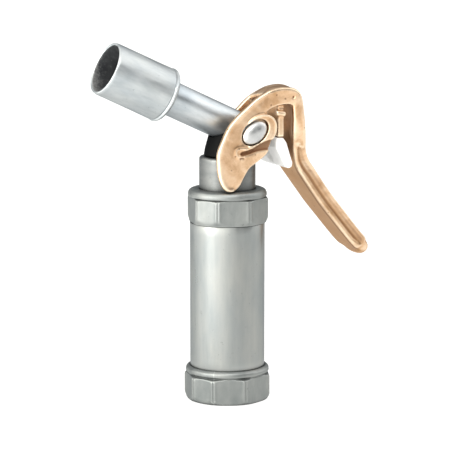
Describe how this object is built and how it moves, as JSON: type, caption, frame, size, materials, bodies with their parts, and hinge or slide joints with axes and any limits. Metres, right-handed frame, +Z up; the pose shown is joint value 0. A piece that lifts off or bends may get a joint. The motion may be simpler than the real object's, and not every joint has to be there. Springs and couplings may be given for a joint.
{
  "type": "fuel nozzle",
  "caption": "Hand fuel nozzle: tubular body with octagonal end collars, upward-angled spout ending in a bell, and a cast squeeze lever on a cross spindle.",
  "frame": {"origin": "centre of the inlet mouth on the body's bottom face", "axes": "+Z up the body axis, -X towards the spout, +X towards the lever handle, +Y along the lever's spindle towards its nut"},
  "size_m": [0.1934, 0.0568, 0.234],
  "materials": {
    "inlet_collar": "cast satin",
    "inlet_gasket": "matt",
    "strainer_ring": "turned",
    "strainer_screen": "perforated",
    "barrel": "satin zinc plate",
    "body_gasket": "matt",
    "top_collar": "cast satin",
    "neck": "turned satin",
    "valve_seat": "turned",
    "seat_oring": "matt",
    "valve_rod": "ground",
    "poppet": "turned",
    "poppet_seal": "matt",
    "poppet_nut": "plated",
    "lift_collar": "turned",
    "valve_spring": "spring wire",
    "spring_guide": "turned",
    "head": "dark cast",
    "head_oring": "matt",
    "spout_tube": "satin",
    "rear_plug": "turned",
    "spout_bell": "satin",
    "bell_oring": "matt",
    "pivot_pin": "polished head",
    "bushing_near": "turned",
    "bushing_far": "turned",
    "spindle_oring_near": "matt",
    "spindle_oring_far": "matt",
    "pin_washer": "plated",
    "pin_nut": "plated",
    "crank_arm": "cast",
    "crank_screw": "plated",
    "lever": "cast bronze, satin",
    "rocker": "moulded",
    "rocker_screw": "plated"
  },
  "bodies": {
    "body": {"inlet_collar": "inlet_collar", "inlet_gasket": "inlet_gasket", "strainer_ring": "strainer_ring", "strainer_screen": "strainer_screen", "barrel": "barrel", "body_gasket": "body_gasket", "top_collar": "top_collar", "neck": "neck", "valve_seat": "valve_seat", "seat_oring": "seat_oring", "valve_spring": "valve_spring", "spring_guide": "spring_guide", "head": "head", "head_oring": "head_oring", "spout_tube": "spout_tube", "rear_plug": "rear_plug", "spout_bell": "spout_bell", "bell_oring": "bell_oring", "bushing_near": "bushing_near", "bushing_far": "bushing_far", "spindle_oring_near": "spindle_oring_near", "spindle_oring_far": "spindle_oring_far"},
    "lever": {"lever": "lever", "pivot_pin": "pivot_pin", "pin_washer": "pin_washer", "pin_nut": "pin_nut", "crank_arm": "crank_arm", "crank_screw": "crank_screw", "rocker": "rocker", "rocker_screw": "rocker_screw"},
    "valve": {"valve_rod": "valve_rod", "poppet": "poppet", "poppet_seal": "poppet_seal", "poppet_nut": "poppet_nut", "lift_collar": "lift_collar"}
  },
  "joints": [
    {"name": "lever_squeeze", "type": "hinge", "parent": "body", "child": "lever", "pos_m": [0.0084, 0, 0.1754], "axis": [0, 1, 0], "range_deg": [0, 24], "stiffness_Nm_per_rad": 0.5, "springref_deg": -45.84},
    {"name": "valve_lift", "type": "slide", "parent": "body", "child": "valve", "axis": [0, 0, 1], "range_m": [0, 0.0036], "deforming": ["valve_spring"]}
  ],
  "couplings": [
    {"joint": "valve_lift", "follows": "lever_squeeze", "m_per_rad": 0.0084}
  ]
}
